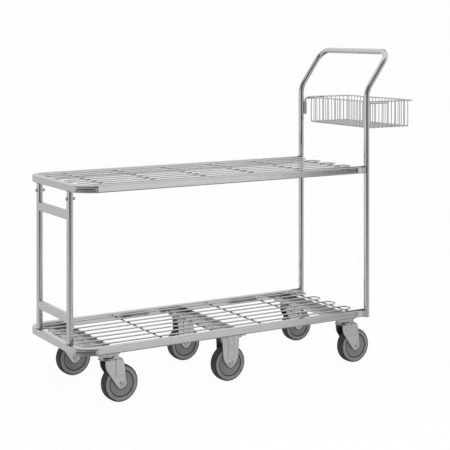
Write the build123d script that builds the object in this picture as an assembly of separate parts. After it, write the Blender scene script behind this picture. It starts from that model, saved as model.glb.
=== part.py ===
from build123d import *
import math
import os

# Two-deck wire platform trolley with six casters, a bent push handle and a lift-off basket.
# Millimetres, +X towards the handle, +Y to the right of a person pushing, +Z up.
# The dimensions below count X from the middle of the deck. Each node is saved with the origin
# moved to the floor under the middle of the whole trolley, basket included.

# ---- driving dimensions -------------------------------------------------------------------
DECK_WIDTH = 450.0            # outside of one side rail to the outside of the other
DECK_FRONT = -585.0           # front face of the deck rail
HANDLE_X = 585.0              # centre of the handle uprights
RAIL = 25.0                   # square rail tube
RAIL_WALL = 1.5
RAIL_EDGE_R = 4.0
RAIL_END_GAP = 0.4            # weld gap between rail ends and handle uprights
RAIL_BEND_R = 75.0            # outside radius of the two front corners
LOWER_RAIL_BOTTOM = 170.0
UPPER_RAIL_BOTTOM = 700.0

WIRE_D = 5.0
WIRE_PITCH = 49.0             # sideways distance between neighbouring deck wires
LOOP_COUNT = 4
LOOP_FRONT = -560.0
LOOP_REAR = 557.0
CROSS_WIRE_FIRST = -455.0
CROSS_WIRE_PITCH = 199.0
CROSS_WIRE_LAST = 526.0
WIRE_GAP = 0.02               # between wires that are spot welded where they cross

POST_D = 22.0                 # front posts
POST_WALL = 1.5
POST_Y = 128.0
POST_TOP_GAP = 8.0            # bare spigot between post and upper rail
SPIGOT_WALL = 2.0
SPIGOT_LENGTH = 60.0
POST_BOLT_DROP = 25.0         # post bolt below the upper rail
POST_BOLT_D = 6.0
POST_BOLT_HEAD = (6.0, 4.0)   # radius, height
CAP_NUT_FLATS = 10.0
CAP_NUT_HEX = 4.0             # height of the hexagon, then the dome
CAP_NUT_DOME = (4.7, 5.0)     # radius, height
CAP_NUT_THREAD = 6.5          # depth of the blind hole
POST_BOLT_SHORT = 0.5         # from the bolt's end to the end of that hole
DOME_SHARE = 0.8              # part of a domed head's height that is rounded
THREAD_GAP = 0.01             # radial, between a screw and its hole
BAR_HEIGHT = 30.0             # flat cross bars between the posts
BAR_DEPTH = 15.0
BAR_WALL = 1.5
BAR_EDGE_R = 3.0
LOWER_BAR_Z = 280.0
UPPER_BAR_Z = 620.0

HANDLE_D = 21.3
HANDLE_WALL = 2.0
HANDLE_Y = 214.0
HANDLE_BOTTOM = 166.0
HANDLE_KNEE_Z = 1003.0        # where upright and sloping part would meet
HANDLE_KNEE_R = 80.0
HANDLE_SLOPE = 36.0           # degrees from vertical
HANDLE_TOP_Z = 1148.0
HANDLE_CORNER_R = 45.0

WHEEL_D = 125.0
TYRE_WIDTH = 36.0
TYRE_INNER_R = 43.0
TYRE_SHOULDER = (6.0, 7.0)    # rounded edge: height on the side, width on the tread
SHOULDER_MIDDLE = (2.4, 2.7)  # middle of that curve, from the tread and from the side
TREAD_CROWN = 0.6             # tread is this much higher in the middle
TYRE_SIDE_TAPER = 0.8
TYRE_GROOVE = (1.5, 3.0)      # between tyre and centre: half width, depth
HUB_WIDTH = 40.0
HUB_R = 14.0
WEB_R = (17.0, 38.0)          # inner and outer radius of the flat web
WEB_DISH = (3.0, 2.0)         # depth of the web there, from the tyre's side
CORE_RIM_DEPTH = 1.0
BUSH_R = 8.5
BUSH_END_GAP = 0.1
AXLE_R = 5.0
AXLE_HEAD = (7.0, 1.5)        # radius, height
AXLE_HEAD_CHAMFER = 0.7
AXLE_CENTRE_HOLE = (3.2, 2.0)   # radius, depth
RUNNING_GAP = 0.05
FORK_INSIDE = 44.0
FORK_SHEET = 3.0
TRAIL = 46.0                  # swivel axis to wheel axle
LEG_FOOT = ((13.5, 12.0), (2.0, -14.0), (-15.0, -10.0))     # swivel leg round the axle
LEG_FRONT = ((-33.0, 15.0), (-55.0, 47.0))                  # its raked leading edge
LEG_SHOULDER = (-61.0, 64.0)
LEG_REAR = ((2.0, 0.0), (8.0, -22.0))                       # heights from the crown
FIXED_LEG = ((8.0, -11.0), (25.0, 9.0), (31.0, 27.0))       # half width, height
FIXED_LEG_TOP = 35.0          # half width at the plate
FIXED_LEG_FOOT = -14.0
SWIVEL_Y = 186.0
FIXED_Y = 160.0
FRONT_SWIVEL_X = -466.0
REAR_SWIVEL_X = 495.5
FIXED_X = 15.0

MEMBER_SHEET = 4.0            # caster cross members
MEMBER_WIDTH = 76.0
MEMBER_AHEAD = 7.0            # middle of a swivel member ahead of the swivel axes
MEMBER_FLANGE = 10.0
MEMBER_SIDE_INSET = 3.0       # from the rails' outside faces
MEMBER_FLANGE_GAP = 0.5       # between flange end and rail
MEMBER_FOLD_R = 2.5
MEMBER_WINDOW_R = 15.0        # clears the kingpin head
TOP_PLATE_SHEET = 3.5
SWIVEL_PLATE = (72.0, 70.0)
SWIVEL_PLATE_AHEAD = 5.0      # middle of the plate ahead of the swivel axis
SWIVEL_HOLES = (54.0, 54.0)
SWIVEL_PLATE_CORNER_R = 12.0
FIXED_PLATE = (76.0, 100.0)
FIXED_HOLES = (56.0, 78.0)
FIXED_PLATE_CORNER_R = 8.0
PLATE_BOLT_D = 8.0
PLATE_BOLT_GAP = 0.05         # radial, between bolt and hole
PLATE_BOLT_END = 0.1          # bolt ends this far below the member's top face
PLATE_BOLT_FLATS = 13.0
PLATE_BOLT_HEAD = 5.3
CROWN_BOTTOM = 145.0
CROWN_R = 29.0                # round front of the swivel fork's crown
LOWER_RACE = 4.0              # height of the lower ball race above the crown
RACE_R = 27.0
RACE_STEP = 1.0               # lower race is this much smaller
RACE_INNER_R = 15.0
RACE_SKIRT = 2.0              # wall and drop of the upper race's rim
BALL_D = 6.0
BALL_PITCH_R = 21.0
BALL_COUNT = 14
KINGPIN_R = 6.0
KINGPIN_TOP_HEAD = (11.0, 3.5)
KINGPIN_LOW_HEAD = (12.0, 5.0)

BASKET_RIM = (607.0, 813.0, 203.0, 962.5)      # x low, x high, half width, height
BASKET_FLOOR = (616.0, 802.0, 192.5, 863.0)
RIM_D = 5.0
BASKET_WIRE_D = 3.0
BASKET_PITCH = 20.0
BASKET_FIRST_WIRE = 4.0                        # from the corner of the walls
BASKET_WIRE_BEND_R = 4.0
RIM_CORNER_R = 8.0
HOOK_D = 7.0
HOOK_Y = 206.0
HOOK_END_X = 690.0
HOOK_BEND_R = 8.0
HOOK_BELOW_SOCKET = 5.0
SOCKET_GAP = 0.08             # radial, between hook rod and socket
SOCKET_D = 12.0
SOCKET_BOTTOM = 897.0
SOCKET_TOP = 945.0

# ---- derived places -----------------------------------------------------------------------
CUT = 40.0                    # half length of a hole cutter, longer than any wall it goes through
FORK_CUT = 4 * WHEEL_D        # length of the cutter between fork legs
HALF_WIDTH = DECK_WIDTH / 2
RAIL_Y = HALF_WIDTH - RAIL / 2
POST_X = DECK_FRONT + RAIL / 2
FOREMOST_X = POST_X - POST_D / 2 - POST_BOLT_HEAD[1]
ORIGIN_X = (FOREMOST_X + BASKET_RIM[1] + RIM_D / 2) / 2
MEMBER_TOP = LOWER_RAIL_BOTTOM
MEMBER_BOTTOM = MEMBER_TOP - MEMBER_SHEET
PLATE_BOTTOM = MEMBER_BOTTOM - TOP_PLATE_SHEET
PLATE_HOLE_R = PLATE_BOLT_D / 2 + PLATE_BOLT_GAP
AXLE_Z = WHEEL_D / 2
FORK_OUTSIDE = FORK_INSIDE / 2 + FORK_SHEET
CROWN_TOP = CROWN_BOTTOM + FORK_SHEET
LOWER_RACE_TOP = CROWN_TOP + LOWER_RACE
LOWER_RACE_R = RACE_R - RACE_STEP
BALL_Z = LOWER_RACE_TOP + RUNNING_GAP + BALL_D / 2
UPPER_RACE_BOTTOM = BALL_Z + BALL_D / 2 + RUNNING_GAP
HOOK_TO_RIM = RIM_D / 2 + HOOK_D / 2 + WIRE_GAP     # between their centres
HOOK_Z = BASKET_RIM[3] - math.sqrt(HOOK_TO_RIM ** 2 - (HOOK_Y - BASKET_RIM[2]) ** 2)
SOCKET_X = HANDLE_X + math.sqrt((HANDLE_D / 2 + SOCKET_D / 2) ** 2 - (HANDLE_Y - HOOK_Y) ** 2)

SWIVELS = {
    "front_left": (FRONT_SWIVEL_X, -SWIVEL_Y),
    "front_right": (FRONT_SWIVEL_X, SWIVEL_Y),
    "rear_left": (REAR_SWIVEL_X, -SWIVEL_Y),
    "rear_right": (REAR_SWIVEL_X, SWIVEL_Y),
}
FIXED = {"middle_left": (FIXED_X, -FIXED_Y), "middle_right": (FIXED_X, FIXED_Y)}


# ---- helpers ------------------------------------------------------------------------------
def save(name, shape):
    """One node: one solid, or a group of separate solids."""
    export_step(Pos(-ORIGIN_X, 0, 0) * shape, f"parts/{name}.step")


def group(shapes):
    return Compound([solid for shape in shapes for solid in shape.solids()])


def corner_arc(before, corner, after, radius):
    """Arc that rounds a corner, with its tangent points on both legs."""
    to_before = (before - corner).normalized()
    to_after = (after - corner).normalized()
    half_angle = math.acos(to_before.dot(to_after)) / 2
    reach = radius / math.tan(half_angle)
    bisector = (to_before + to_after).normalized()
    centre = corner + bisector * (radius / math.sin(half_angle))
    return corner + to_before * reach, centre - bisector * radius, corner + to_after * reach


def rounded_path(points, radii, closed=False):
    """Straight legs through the points, with each corner rounded by its own radius."""
    points = [Vector(*p) for p in points]
    count = len(points)
    corners = range(count) if closed else range(1, count - 1)
    arcs = [
        corner_arc(points[i - 1], points[i], points[(i + 1) % count], radii[k])
        for k, i in enumerate(corners)
    ]
    edges = []
    start = None if closed else points[0]
    for begin, middle, end in arcs:
        if start is not None:
            edges.append(Line(start, begin))
        edges.append(ThreePointArc(begin, middle, end))
        start = end
    edges.append(Line(start, arcs[0][0] if closed else points[-1]))
    return Wire([edge for item in edges for edge in item.edges()])


def along(path, section):
    """Sweep a flat section down a path."""
    start = Plane(origin=path @ 0, z_dir=path % 0)
    return sweep(start * section, path=path, transition=Transition.ROUND)


def cylinder_between(start, end, radius):
    axis = Vector(*end) - Vector(*start)
    return extrude(Plane(origin=start, z_dir=axis) * Circle(radius), axis.length)


def hexagon_prism(x, y, z, flats, height):
    """Nut or bolt head standing on z, hexagon across flats."""
    outline = RegularPolygon(radius=flats / 2, side_count=6, major_radius=False)
    return extrude(Plane(origin=(x, y, z)) * outline, height)


def four_holes(x, y, spacing):
    for sx in (-1, 1):
        for sy in (-1, 1):
            yield x + sx * spacing[0] / 2, y + sy * spacing[1] / 2


def swivel_holes(x, y):
    """Bolt holes of the caster whose swivel axis is at x, y."""
    return list(four_holes(x - SWIVEL_PLATE_AHEAD, y, SWIVEL_HOLES))


# ---- deck frames --------------------------------------------------------------------------
def deck_rail(bottom):
    """U of square tube, open at the handle end, bent round at the two front corners."""
    z = bottom + RAIL / 2
    rear = HANDLE_X - HANDLE_D / 2 - RAIL_END_GAP
    centre_radius = RAIL_BEND_R - RAIL / 2
    path = rounded_path(
        [(rear, -RAIL_Y, z), (POST_X, -RAIL_Y, z), (POST_X, RAIL_Y, z), (rear, RAIL_Y, z)],
        [centre_radius, centre_radius],
    )
    inside = RAIL - 2 * RAIL_WALL
    outer = RectangleRounded(RAIL, RAIL, RAIL_EDGE_R)
    section = outer - RectangleRounded(inside, inside, RAIL_EDGE_R - RAIL_WALL)
    return along(path, section)


def deck_loops(rail_bottom):
    """Long closed wire loops, round at both ends, lying level with the rail tops."""
    z = rail_bottom + RAIL - WIRE_D / 2
    half = WIRE_PITCH / 2
    front = LOOP_FRONT + WIRE_D / 2
    rear = LOOP_REAR - WIRE_D / 2
    loops = []
    for index in range(LOOP_COUNT):
        y = (index - (LOOP_COUNT - 1) / 2) * 2 * WIRE_PITCH
        side = Line((front + half, y - half, z), (rear - half, y - half, z))
        rear_end = ThreePointArc((rear - half, y - half, z), (rear, y, z), (rear - half, y + half, z))
        back = Line((rear - half, y + half, z), (front + half, y + half, z))
        front_end = ThreePointArc(
            (front + half, y + half, z), (front, y, z), (front + half, y - half, z)
        )
        pieces = [cut for edge in (side, rear_end, back, front_end) for cut in edge.edges()]
        loops.append(along(Wire(pieces), Circle(WIRE_D / 2)))
    return group(loops)


def cross_wire_places():
    count = int((CROSS_WIRE_LAST - CROSS_WIRE_FIRST) // CROSS_WIRE_PITCH) + 1
    return [CROSS_WIRE_FIRST + i * CROSS_WIRE_PITCH for i in range(count)] + [CROSS_WIRE_LAST]


def deck_cross_wires(rail_bottom):
    """Straight wires under the loops, from rail to rail."""
    z = rail_bottom + RAIL - 1.5 * WIRE_D - WIRE_GAP
    reach = HALF_WIDTH - RAIL
    return group(
        cylinder_between((x, -reach, z), (x, reach, z), WIRE_D / 2) for x in cross_wire_places()
    )


# ---- front posts --------------------------------------------------------------------------
def bolt_hole(y, z, radius):
    return cylinder_between((POST_X - CUT, y, z), (POST_X + CUT, y, z), radius)


def front_posts():
    """Two round tubes standing on the lower front rail."""
    bottom = LOWER_RAIL_BOTTOM + RAIL
    height = UPPER_RAIL_BOTTOM - POST_TOP_GAP - bottom
    section = Circle(POST_D / 2) - Circle(POST_D / 2 - POST_WALL)
    posts = []
    for y in (-POST_Y, POST_Y):
        post = extrude(Plane(origin=(POST_X, y, bottom)) * section, height)
        post -= bolt_hole(y, UPPER_RAIL_BOTTOM - POST_BOLT_DROP, POST_BOLT_D / 2)
        posts.append(post)
    return group(posts)


def deck_spigots():
    """Short tubes under the upper rail that plug into the posts."""
    radius = POST_D / 2 - POST_WALL - RUNNING_GAP
    section = Circle(radius) - Circle(radius - SPIGOT_WALL)
    spigots = []
    for y in (-POST_Y, POST_Y):
        bottom = Plane(origin=(POST_X, y, UPPER_RAIL_BOTTOM - SPIGOT_LENGTH))
        spigot = extrude(bottom * section, SPIGOT_LENGTH)
        spigot -= bolt_hole(y, UPPER_RAIL_BOTTOM - POST_BOLT_DROP, POST_BOLT_D / 2)
        spigots.append(spigot)
    return group(spigots)


def dome(radius, height):
    """Round head with a domed top, standing on z = 0."""
    disc = extrude(Circle(radius), height)
    return fillet(disc.edges().group_by(Axis.Z)[-1], height * DOME_SHARE)


def post_bolts():
    """Round-headed bolts through post and spigot, heads at the front."""
    z = UPPER_RAIL_BOTTOM - POST_BOLT_DROP
    radius = POST_BOLT_D / 2 - THREAD_GAP
    bolts = []
    for y in (-POST_Y, POST_Y):
        head_x = POST_X - POST_D / 2
        head = Plane(origin=(head_x, y, z), z_dir=(-1, 0, 0)) * dome(*POST_BOLT_HEAD)
        end_x = POST_X + POST_D / 2 + CAP_NUT_THREAD - POST_BOLT_SHORT
        shank = cylinder_between((head_x, y, z), (end_x, y, z), radius)
        bolts.append(head + shank)
    return group(bolts)


def post_cap_nuts():
    """Domed nuts on the handle side of the posts."""
    z = UPPER_RAIL_BOTTOM - POST_BOLT_DROP
    nuts = []
    for y in (-POST_Y, POST_Y):
        seat = Plane(origin=(POST_X + POST_D / 2, y, z), z_dir=(1, 0, 0))
        hexagon = RegularPolygon(radius=CAP_NUT_FLATS / 2, side_count=6, major_radius=False)
        nut = extrude(seat * hexagon, CAP_NUT_HEX)
        nut += seat.offset(CAP_NUT_HEX) * dome(*CAP_NUT_DOME)
        nut -= extrude(seat * Circle(POST_BOLT_D / 2), CAP_NUT_THREAD)
        nuts.append(nut)
    return group(nuts)


def post_bar(z):
    """Flat tube across the posts, its ends coped to fit the round posts."""
    outer = RectangleRounded(BAR_DEPTH, BAR_HEIGHT, BAR_EDGE_R)
    inner = RectangleRounded(
        BAR_DEPTH - 2 * BAR_WALL, BAR_HEIGHT - 2 * BAR_WALL, BAR_EDGE_R - BAR_WALL
    )
    start = Plane(origin=(POST_X, -POST_Y, z), x_dir=(1, 0, 0), z_dir=(0, 1, 0))
    bar = extrude(start * (outer - inner), 2 * POST_Y)
    for y in (-POST_Y, POST_Y):
        bar -= cylinder_between((POST_X, y, z - CUT), (POST_X, y, z + CUT), POST_D / 2)
    return max(bar.solids(), key=lambda solid: solid.volume)


# ---- handle -------------------------------------------------------------------------------
def push_handle():
    """One bent tube: two uprights, knees leaning out, and the grip bar across the top."""
    lean = (HANDLE_TOP_Z - HANDLE_KNEE_Z) * math.tan(math.radians(HANDLE_SLOPE))
    top_x = HANDLE_X + lean
    points = [
        (HANDLE_X, -HANDLE_Y, HANDLE_BOTTOM),
        (HANDLE_X, -HANDLE_Y, HANDLE_KNEE_Z),
        (top_x, -HANDLE_Y, HANDLE_TOP_Z),
        (top_x, HANDLE_Y, HANDLE_TOP_Z),
        (HANDLE_X, HANDLE_Y, HANDLE_KNEE_Z),
        (HANDLE_X, HANDLE_Y, HANDLE_BOTTOM),
    ]
    radii = [HANDLE_KNEE_R, HANDLE_CORNER_R, HANDLE_CORNER_R, HANDLE_KNEE_R]
    section = Circle(HANDLE_D / 2) - Circle(HANDLE_D / 2 - HANDLE_WALL)
    return along(rounded_path(points, radii), section)


# ---- caster cross members and their fasteners ---------------------------------------------
def cross_member(x, hole_places, window_places):
    """Sheet plate under both side rails, its edges folded up between the rails."""
    plate = Pos(x, 0, MEMBER_BOTTOM + MEMBER_SHEET / 2) * Box(
        MEMBER_WIDTH, DECK_WIDTH - 2 * MEMBER_SIDE_INSET, MEMBER_SHEET
    )
    reach = DECK_WIDTH - 2 * RAIL - 2 * MEMBER_FLANGE_GAP
    for side in (-1, 1):
        flange_x = x + side * (MEMBER_WIDTH - MEMBER_SHEET) / 2
        plate += Pos(flange_x, 0, MEMBER_TOP + MEMBER_FLANGE / 2) * Box(
            MEMBER_SHEET, reach, MEMBER_FLANGE
        )
    folds = plate.edges().filter_by(Axis.Y).group_by(Axis.Z)[0]
    plate = fillet(folds, MEMBER_FOLD_R)
    for hole_x, hole_y in hole_places:
        plate -= Pos(hole_x, hole_y, MEMBER_BOTTOM) * Cylinder(PLATE_HOLE_R, CUT)
    for hole_x, hole_y in window_places:
        plate -= Pos(hole_x, hole_y, MEMBER_BOTTOM) * Cylinder(MEMBER_WINDOW_R, CUT)
    return plate


def plate_hole_places():
    for x, y in SWIVELS.values():
        yield from swivel_holes(x, y)
    for x, y in FIXED.values():
        yield from four_holes(x, y, FIXED_HOLES)


def caster_bolts():
    """Hexagon bolts up through the caster plates, screwed into the cross members."""
    bolts = []
    for x, y in plate_hole_places():
        bolt = hexagon_prism(x, y, PLATE_BOTTOM - PLATE_BOLT_HEAD, PLATE_BOLT_FLATS, PLATE_BOLT_HEAD)
        bolt += cylinder_between(
            (x, y, PLATE_BOTTOM), (x, y, MEMBER_TOP - PLATE_BOLT_END), PLATE_BOLT_D / 2
        )
        bolts.append(bolt)
    return group(bolts)


# ---- swivel head --------------------------------------------------------------------------
def axle_hole(x, y, radius):
    """Cutter for a hole on the wheel axle."""
    return cylinder_between((x, y - CUT, AXLE_Z), (x, y + CUT, AXLE_Z), radius)


def swivel_top_plate(x, y):
    """Mounting plate with the pressed upper ball race under it."""
    middle = Plane(origin=(x - SWIVEL_PLATE_AHEAD, y, PLATE_BOTTOM))
    outline = RectangleRounded(*SWIVEL_PLATE, SWIVEL_PLATE_CORNER_R)
    plate = extrude(middle * outline, TOP_PLATE_SHEET)
    race = extrude(
        Plane(origin=(x, y, UPPER_RACE_BOTTOM)) * (Circle(RACE_R) - Circle(RACE_INNER_R)),
        PLATE_BOTTOM - UPPER_RACE_BOTTOM,
    )
    skirt = extrude(
        Plane(origin=(x, y, UPPER_RACE_BOTTOM - RACE_SKIRT))
        * (Circle(RACE_R) - Circle(RACE_R - RACE_SKIRT)),
        RACE_SKIRT,
    )
    plate += race + skirt
    for hole_x, hole_y in swivel_holes(x, y):
        plate -= Pos(hole_x, hole_y, PLATE_BOTTOM) * Cylinder(PLATE_HOLE_R, CUT)
    return plate - Pos(x, y, PLATE_BOTTOM) * Cylinder(KINGPIN_R + RUNNING_GAP, CUT)


def swivel_balls(x, y):
    balls = []
    for index in range(BALL_COUNT):
        angle = 2 * math.pi * index / BALL_COUNT
        place = Pos(x + BALL_PITCH_R * math.cos(angle), y + BALL_PITCH_R * math.sin(angle), BALL_Z)
        balls.append(place * Sphere(BALL_D / 2))
    return balls


def swivel_leg_outline():
    """Side of the swivel fork, seen along Y, with the axle at 0, 0 and the swivel axis ahead."""
    crown = CROWN_TOP - AXLE_Z
    front_top = (LEG_SHOULDER[0], crown)
    rear = [(x, crown + drop) for x, drop in LEG_REAR]
    with BuildSketch() as outline:
        with BuildLine():
            Polyline(front_top, *rear, LEG_FOOT[0])
            ThreePointArc(*LEG_FOOT)
            Polyline(LEG_FOOT[-1], *LEG_FRONT)
            ThreePointArc(LEG_FRONT[-1], LEG_SHOULDER, front_top)
        make_face()
    return outline.sketch


def swivel_fork(x, y):
    """Pressed fork: flat crown with the lower ball race, and two raked legs."""
    axle_x = x + TRAIL
    side = Plane(origin=(axle_x, y, AXLE_Z), x_dir=(1, 0, 0), z_dir=(0, -1, 0))
    fork = extrude(side * swivel_leg_outline(), FORK_OUTSIDE, both=True)
    fork -= Pos(axle_x, y, CROWN_BOTTOM / 2) * Box(FORK_CUT, FORK_INSIDE, CROWN_BOTTOM)
    fork += extrude(Plane(origin=(x, y, CROWN_BOTTOM)) * Circle(CROWN_R), FORK_SHEET)
    fork += extrude(Plane(origin=(x, y, CROWN_TOP)) * Circle(LOWER_RACE_R), LOWER_RACE)
    fork -= Pos(x, y, CROWN_TOP) * Cylinder(KINGPIN_R, CUT)
    return fork - axle_hole(axle_x, y, AXLE_R)


def kingpin(x, y):
    """Riveted pin that holds the fork to the top plate."""
    top = MEMBER_BOTTOM + RUNNING_GAP
    pin = cylinder_between((x, y, CROWN_BOTTOM), (x, y, top), KINGPIN_R)
    pin += Pos(x, y, top) * dome(*KINGPIN_TOP_HEAD)
    return pin + Pos(x, y, CROWN_BOTTOM) * Rot(180, 0, 0) * dome(*KINGPIN_LOW_HEAD)


# ---- fixed fork ---------------------------------------------------------------------------
def fixed_leg_outline():
    """Side of the fixed fork, seen along Y, with the axle at 0, 0."""
    rear = [*FIXED_LEG, (FIXED_LEG_TOP, MEMBER_BOTTOM - AXLE_Z)]
    front = [(-x, z) for x, z in rear]
    with BuildSketch() as outline:
        with BuildLine():
            Polyline(*front)
            Line(front[-1], rear[-1])
            Polyline(*reversed(rear))
            ThreePointArc(rear[0], (0, FIXED_LEG_FOOT), front[0])
        make_face()
    return outline.sketch


def fixed_fork(x, y):
    """Mounting plate and two straight legs in one pressing."""
    side = Plane(origin=(x, y, AXLE_Z), x_dir=(1, 0, 0), z_dir=(0, -1, 0))
    fork = extrude(side * fixed_leg_outline(), FORK_OUTSIDE, both=True)
    fork -= Pos(x, y, PLATE_BOTTOM / 2) * Box(FORK_CUT, FORK_INSIDE, PLATE_BOTTOM)
    plate = Plane(origin=(x, y, PLATE_BOTTOM)) * RectangleRounded(*FIXED_PLATE, FIXED_PLATE_CORNER_R)
    fork += extrude(plate, TOP_PLATE_SHEET)
    for hole_x, hole_y in four_holes(x, y, FIXED_HOLES):
        fork -= Pos(hole_x, hole_y, PLATE_BOTTOM) * Cylinder(PLATE_HOLE_R, CUT)
    return fork - axle_hole(x, y, AXLE_R)


# ---- wheel --------------------------------------------------------------------------------
def axle(x, y):
    """Rivet axle: round low heads outside the fork legs, each with a drilled centre."""
    head_r, head_height = AXLE_HEAD
    hole_r, hole_depth = AXLE_CENTRE_HOLE
    reach = FORK_OUTSIDE + head_height
    pin = cylinder_between((x, y - reach, AXLE_Z), (x, y + reach, AXLE_Z), AXLE_R)
    for side in (-1, 1):
        face = Plane(origin=(x, y + side * FORK_OUTSIDE, AXLE_Z), z_dir=(0, side, 0))
        head = extrude(face * Circle(head_r), head_height)
        outer_edge = head.faces().sort_by(Axis.Y)[-1 if side > 0 else 0].edges()
        pin += chamfer(outer_edge, AXLE_HEAD_CHAMFER)
        pin -= extrude(face.offset(head_height - hole_depth) * Circle(hole_r), hole_depth)
    return pin


def wheel_bush(x, y):
    """Plain bearing sleeve that also spaces the hub from the fork legs."""
    reach = FORK_INSIDE / 2 - BUSH_END_GAP
    sleeve = cylinder_between((x, y - reach, AXLE_Z), (x, y + reach, AXLE_Z), BUSH_R)
    return sleeve - axle_hole(x, y, AXLE_R + RUNNING_GAP)


def turned(x, y, profile_points):
    """Revolve a half section given as radius, sideways offset about the wheel axle."""
    with BuildSketch(Plane.XY) as section:
        with BuildLine():
            Polyline(*profile_points, close=True)
        make_face()
    return Pos(x, y, AXLE_Z) * revolve(section.sketch, Axis.Y)


def wheel_core(x, y):
    """Moulded centre: hub, dished web and rim seat."""
    half = TYRE_WIDTH / 2
    hub = HUB_WIDTH / 2
    groove_half, groove_depth = TYRE_GROOVE
    right = [(BUSH_R, hub), (HUB_R, hub)]
    right += [(radius, half - depth) for radius, depth in zip(WEB_R, WEB_DISH)]
    right += [(TYRE_INNER_R - groove_half, half - CORE_RIM_DEPTH)]
    right += [(TYRE_INNER_R, half - groove_depth)]
    left = [(r, -offset) for r, offset in reversed(right)]
    return turned(x, y, right + left)


def wheel_tyre(x, y):
    """Solid tyre with rounded shoulders and a shallow groove against the centre."""
    half = TYRE_WIDTH / 2
    outer = WHEEL_D / 2
    groove_half, groove_depth = TYRE_GROOVE
    groove_bottom = (TYRE_INNER_R, half - groove_depth)
    bead = (TYRE_INNER_R + groove_half, half)
    wall_end = (outer - TYRE_SHOULDER[0], half - TYRE_SIDE_TAPER)
    shoulder = (outer - SHOULDER_MIDDLE[0], half - SHOULDER_MIDDLE[1])
    tread_edge = (outer - TREAD_CROWN, half - TYRE_SHOULDER[1])
    with BuildSketch(Plane.XY) as section:
        with BuildLine():
            for side in (-1, 1):
                points = (groove_bottom, bead, wall_end, shoulder, tread_edge)
                points = [(radius, side * offset) for radius, offset in points]
                Polyline(*points[:3])
                ThreePointArc(*points[2:])
            ThreePointArc((tread_edge[0], -tread_edge[1]), (outer, 0), tread_edge)
            Line(groove_bottom, (groove_bottom[0], -groove_bottom[1]))
        make_face()
    return Pos(x, y, AXLE_Z) * revolve(section.sketch, Axis.Y)


# ---- basket -------------------------------------------------------------------------------
def basket_rim():
    """Closed rim wire with rounded corners."""
    low_x, high_x, half_y, z = BASKET_RIM
    corners = [(low_x, -half_y, z), (high_x, -half_y, z), (high_x, half_y, z), (low_x, half_y, z)]
    return along(rounded_path(corners, [RIM_CORNER_R] * 4, closed=True), Circle(RIM_D / 2))


def spaced(low, high, pitch):
    """Evenly spaced places from low to high, about one pitch apart."""
    steps = round((high - low) / pitch)
    return [low + (high - low) * i / steps for i in range(steps + 1)]


def basket_wires(across):
    """Wires from the rim inwards, down one wall, over the floor, up the other wall to the rim.

    across True: they run side to side; False: front to back, one wire thickness higher.
    """
    rim_low, rim_high, rim_half, rim_z = BASKET_RIM
    floor_low, floor_high, floor_half, floor_z = BASKET_FLOOR
    inset = RIM_D / 2 + BASKET_WIRE_D / 2 + WIRE_GAP
    bends = [BASKET_WIRE_BEND_R] * 4
    wires = []
    if across:
        first, last = floor_low + BASKET_FIRST_WIRE, floor_high - BASKET_FIRST_WIRE
        for x in spaced(first, last, BASKET_PITCH):
            points = [
                (x, inset - rim_half, rim_z), (x, -floor_half, rim_z), (x, -floor_half, floor_z),
                (x, floor_half, floor_z), (x, floor_half, rim_z), (x, rim_half - inset, rim_z),
            ]
            wires.append(along(rounded_path(points, bends), Circle(BASKET_WIRE_D / 2)))
    else:
        z = floor_z + BASKET_WIRE_D + WIRE_GAP
        first = floor_half - BASKET_FIRST_WIRE
        for y in spaced(-first, first, BASKET_PITCH):
            points = [
                (rim_low + inset, y, rim_z), (floor_low, y, rim_z), (floor_low, y, z),
                (floor_high, y, z), (floor_high, y, rim_z), (rim_high - inset, y, rim_z),
            ]
            wires.append(along(rounded_path(points, bends), Circle(BASKET_WIRE_D / 2)))
    return group(wires)


def basket_hook_rods():
    """Bent rods under the side rims, their ends dropping into the sockets on the handle."""
    rods = []
    for y in (-HOOK_Y, HOOK_Y):
        low_z = SOCKET_BOTTOM - HOOK_BELOW_SOCKET
        points = [(SOCKET_X, y, low_z), (SOCKET_X, y, HOOK_Z), (HOOK_END_X, y, HOOK_Z)]
        rods.append(along(rounded_path(points, [HOOK_BEND_R]), Circle(HOOK_D / 2)))
    return group(rods)


def basket_sockets():
    """Short tubes on the handle uprights."""
    section = Circle(SOCKET_D / 2) - Circle(HOOK_D / 2 + SOCKET_GAP)
    height = SOCKET_TOP - SOCKET_BOTTOM
    return group(
        extrude(Plane(origin=(SOCKET_X, y, SOCKET_BOTTOM)) * section, height)
        for y in (-HOOK_Y, HOOK_Y)
    )


# ---- write every node ---------------------------------------------------------------------
os.makedirs("parts", exist_ok=True)

for deck, rail_bottom in (("lower", LOWER_RAIL_BOTTOM), ("upper", UPPER_RAIL_BOTTOM)):
    save(f"{deck}_deck_rail", deck_rail(rail_bottom))
    save(f"{deck}_deck_wire_loops", deck_loops(rail_bottom))
    save(f"{deck}_deck_cross_wires", deck_cross_wires(rail_bottom))

save("front_posts", front_posts())
save("post_spigots", deck_spigots())
save("post_bolts", post_bolts())
save("post_cap_nuts", post_cap_nuts())
save("lower_post_bar", post_bar(LOWER_BAR_Z))
save("upper_post_bar", post_bar(UPPER_BAR_Z))
save("push_handle", push_handle())

for place, x in (("front", FRONT_SWIVEL_X), ("rear", REAR_SWIVEL_X)):
    windows = [(x, -SWIVEL_Y), (x, SWIVEL_Y)]
    holes = [hole for window in windows for hole in swivel_holes(*window)]
    save(f"{place}_cross_member", cross_member(x - MEMBER_AHEAD, holes, windows))
fixed_holes = [hole for centre in FIXED.values() for hole in four_holes(*centre, FIXED_HOLES)]
save("middle_cross_member", cross_member(FIXED_X, fixed_holes, []))
save("caster_bolts", caster_bolts())

save("swivel_top_plates", group(swivel_top_plate(x, y) for x, y in SWIVELS.values()))
save("swivel_balls", group(ball for x, y in SWIVELS.values() for ball in swivel_balls(x, y)))
save("middle_forks", group(fixed_fork(x, y) for x, y in FIXED.values()))
save("middle_axles", group(axle(x, y) for x, y in FIXED.values()))

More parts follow.
